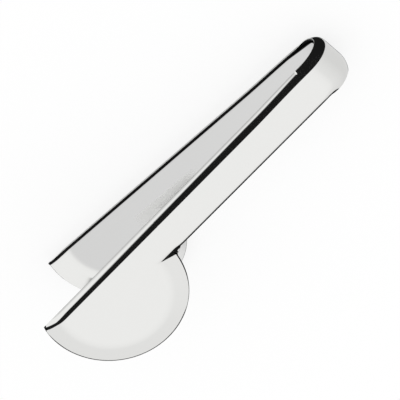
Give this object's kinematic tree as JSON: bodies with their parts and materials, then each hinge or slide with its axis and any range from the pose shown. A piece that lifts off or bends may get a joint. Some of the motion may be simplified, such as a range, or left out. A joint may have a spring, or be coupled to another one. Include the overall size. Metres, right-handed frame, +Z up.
{
  "type": "kitchen tongs",
  "caption": "Polished steel kitchen tongs: two flat arms with rolled edges, joined by a springy U-shaped bow and ending in dished half-disc jaws.",
  "frame": {"origin": "on the surface that the tongs lie on, below the middle of their bounding box", "axes": "+X along the lower arm from the jaw to the bow, +Y towards the straight edge of arms and jaws, +Z up from the lower arm to the upper arm"},
  "size_m": [0.2, 0.0516, 0.0644],
  "materials": {
    "polished_steel": "mirror polished stainless steel"
  },
  "bodies": {
    "lower_half": {"lower_arm": "polished_steel", "lower_jaw": "polished_steel", "spring_bow": "polished_steel"},
    "upper_half": {"upper_arm": "polished_steel", "upper_jaw": "polished_steel"}
  },
  "joints": [
    {"name": "squeeze", "type": "hinge", "parent": "lower_half", "child": "upper_half", "pos_m": [0.09466, 0.0154, 0.0129], "axis": [0, -1, 0], "range_deg": [-2, 17.2], "stiffness_Nm_per_rad": 7.5, "springref_deg": -0.4, "deforming": ["spring_bow"]}
  ]
}
